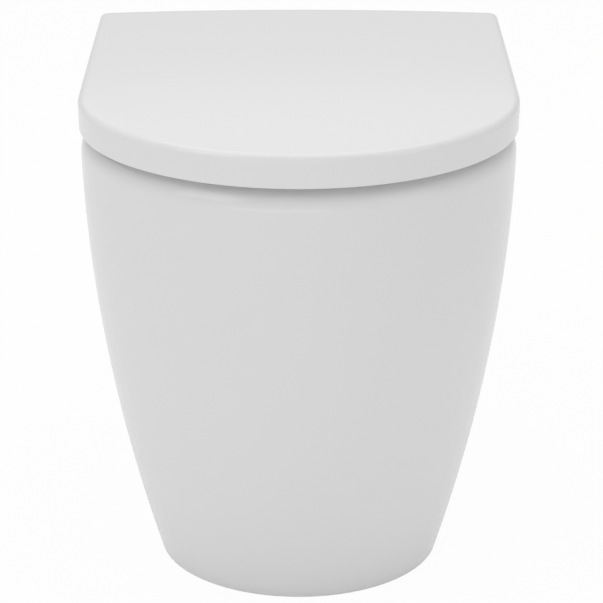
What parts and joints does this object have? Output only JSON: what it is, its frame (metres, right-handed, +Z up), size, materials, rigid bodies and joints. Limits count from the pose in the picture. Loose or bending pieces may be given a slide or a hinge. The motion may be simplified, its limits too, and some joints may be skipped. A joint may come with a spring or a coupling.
{
  "type": "rimless toilet",
  "caption": "Back-to-wall rimless toilet with a tapering D-shaped china pan, open bowl lip, trapway, damped quick-release hinges, seat ring and wrap-over lid.",
  "frame": {"origin": "on the floor, under the middle of the whole part's box", "axes": "+Z up, +Y towards the wall, +X to the right as seen from the front"},
  "size_m": [0.367, 0.5549, 0.4325],
  "materials": {
    "glazed_china": "gloss glazed",
    "white_resin": "gloss",
    "white_moulding": "satin",
    "grey_moulding": "matte",
    "grey_button": "satin",
    "chrome_hinge": "polished",
    "polished_steel": "turned",
    "steel_fixings": "plated",
    "black_rubber": "matte",
    "grey_rubber": "matte",
    "clear_rubber": "satin"
  },
  "bodies": {
    "pan": {"pan_skirt": "glazed_china", "pan_deck": "glazed_china", "pan_lip": "glazed_china", "pan_bowl": "glazed_china", "pan_sump": "glazed_china", "pan_trapway": "glazed_china", "pan_inlet": "glazed_china", "flush_distributor": "white_moulding", "inlet_seal": "black_rubber", "side_screws": "steel_fixings", "side_caps": "white_moulding", "hinge_posts": "polished_steel", "post_gaskets": "grey_rubber", "expansion_plugs": "black_rubber", "plug_nuts": "steel_fixings", "floor_bracket_left": "grey_moulding", "floor_bracket_right": "grey_moulding"},
    "seat_mount": {"hinge_block_left": "chrome_hinge", "hinge_block_right": "chrome_hinge", "latch_clips": "polished_steel", "lid_damper_shaft": "polished_steel", "lid_pivot_shaft": "polished_steel", "seat_damper_shaft": "polished_steel", "seat_pivot_shaft": "polished_steel"},
    "left_button": {"release_button_left": "grey_button"},
    "right_button": {"release_button_right": "grey_button"},
    "seat": {"seat_ring": "white_resin", "seat_buffers": "clear_rubber", "seat_damper": "grey_moulding"},
    "lid": {"lid": "white_resin", "lid_buffers": "clear_rubber", "lid_damper": "grey_moulding"}
  },
  "joints": [
    {"name": "lift_off", "type": "slide", "parent": "pan", "child": "seat_mount", "axis": [0, 0, 1], "range_m": [0, 0.06], "deforming": ["latch_clips"]},
    {"name": "seat_hinge", "type": "hinge", "parent": "seat_mount", "child": "seat", "pos_m": [0, 0.168, 0.4155], "axis": [1, 0, 0], "range_deg": [-96, 0]},
    {"name": "lid_hinge", "type": "hinge", "parent": "seat", "child": "lid", "pos_m": [0, 0.168, 0.4155], "axis": [-1, 0, 0], "range_deg": [0, 100]},
    {"name": "left_release", "type": "slide", "parent": "seat_mount", "child": "left_button", "axis": [0, 1, 0], "range_m": [0, 0.0023], "stiffness_N_per_m": 1500},
    {"name": "right_release", "type": "slide", "parent": "seat_mount", "child": "right_button", "axis": [0, 1, 0], "range_m": [0, 0.0023], "stiffness_N_per_m": 1500}
  ]
}
